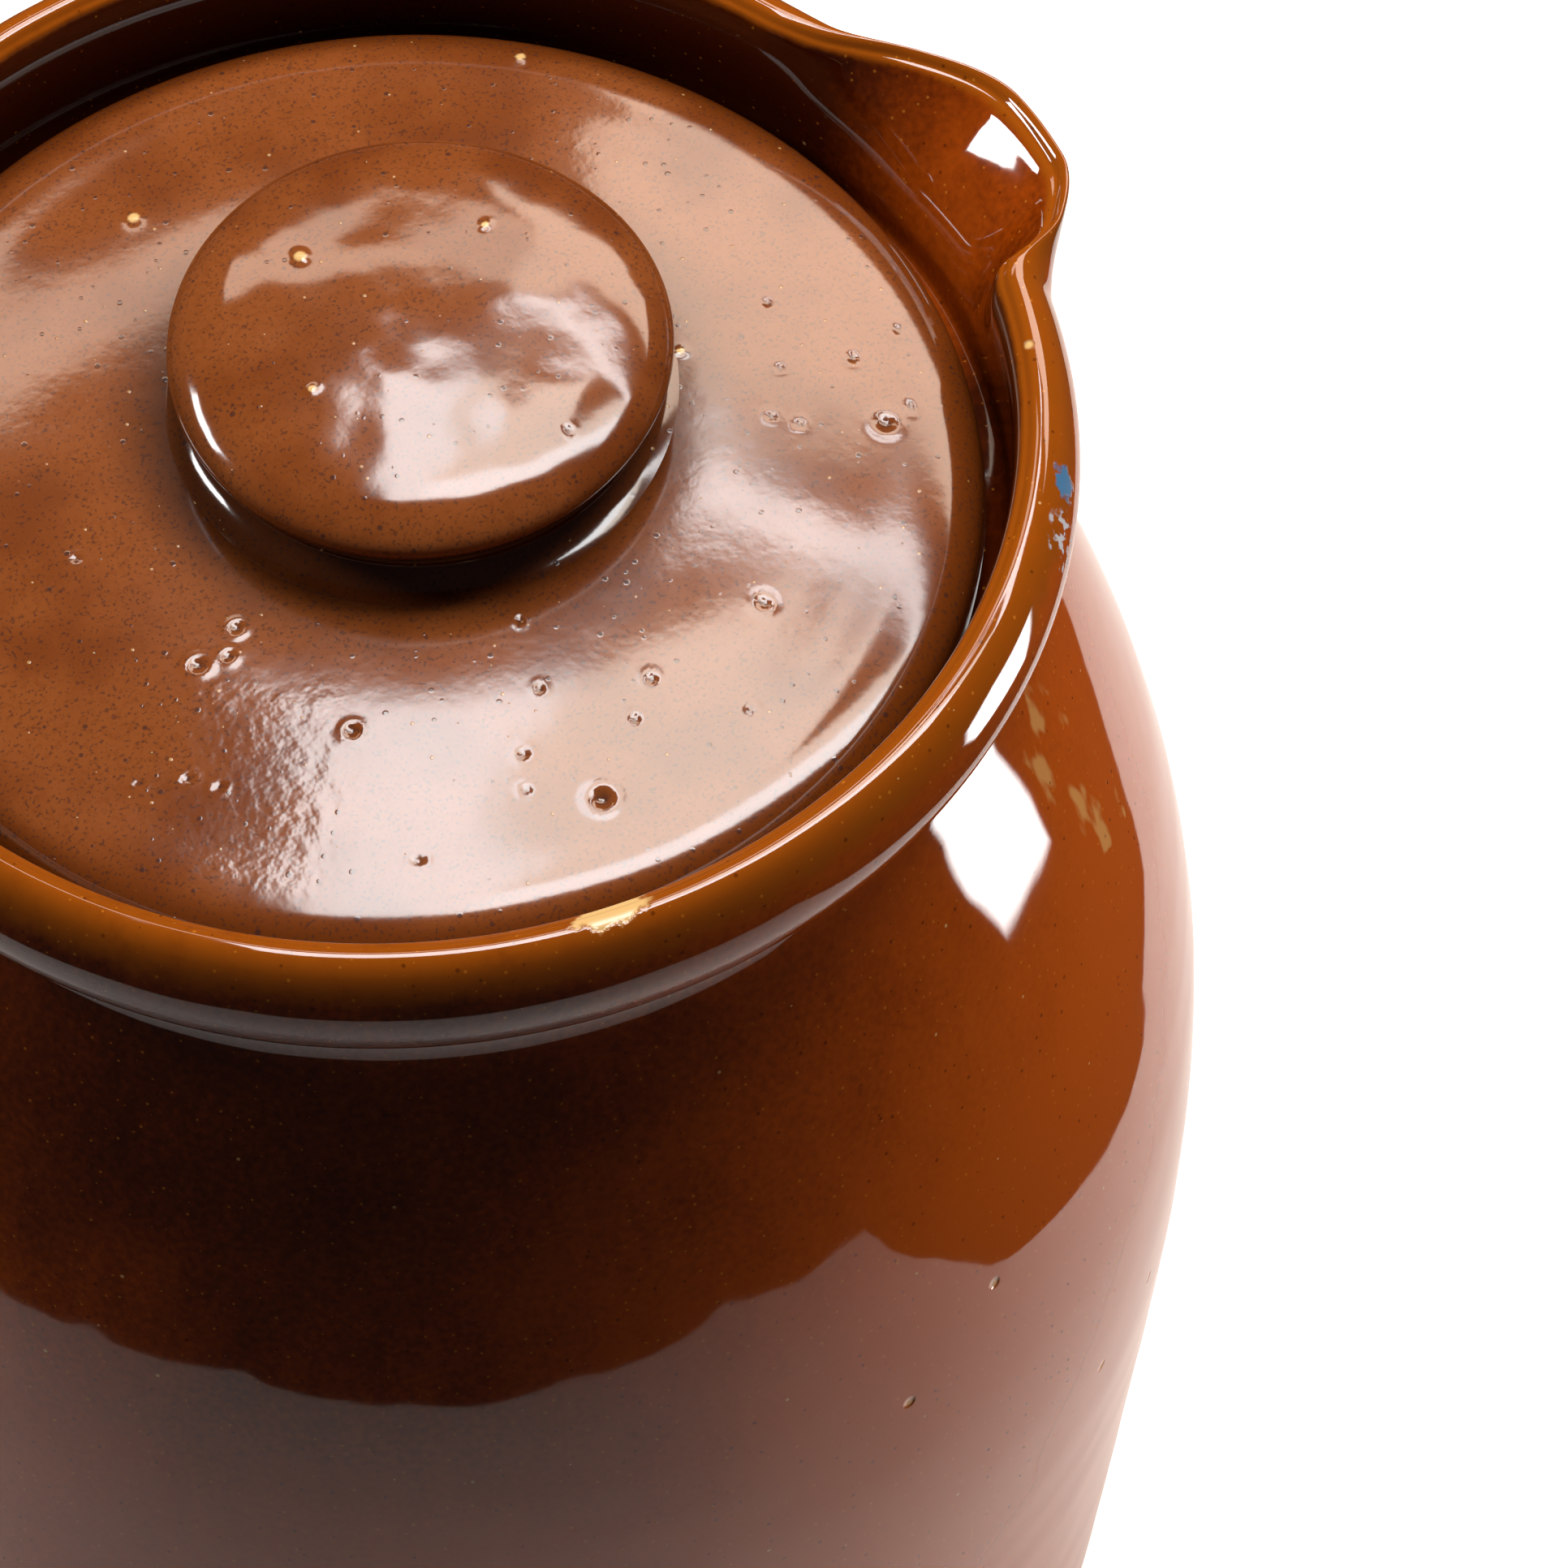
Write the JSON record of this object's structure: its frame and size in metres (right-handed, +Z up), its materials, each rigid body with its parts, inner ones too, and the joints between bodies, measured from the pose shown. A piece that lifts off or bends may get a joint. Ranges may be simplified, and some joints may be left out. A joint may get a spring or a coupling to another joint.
{
  "type": "butter crock",
  "caption": "Glazed stoneware crock with a rolled rim, a small pressed pouring lip and an inset lid that lifts off by a low round knob.",
  "frame": {"origin": "centre of the foot ring's plane, on the crock's axis", "axes": "+Z up along the crock's axis, +X towards the pouring lip, +Y to the left of someone who looks along +X"},
  "size_m": [0.17, 0.17, 0.241],
  "materials": {
    "body_glaze": "glossy dark amber-brown glaze on buff stoneware",
    "lid_glaze": "glossy speckled milk-chocolate brown glaze with pinholes",
    "knob_glaze": "glossy speckled milk-chocolate brown glaze"
  },
  "bodies": {
    "crock": {"crock_body": "body_glaze"},
    "lid": {"lid_disc": "lid_glaze", "lid_knob": "knob_glaze"}
  },
  "joints": [
    {"name": "lid_lift", "type": "slide", "parent": "crock", "child": "lid", "axis": [0, 0, 1], "range_m": [0, 0.08]}
  ]
}
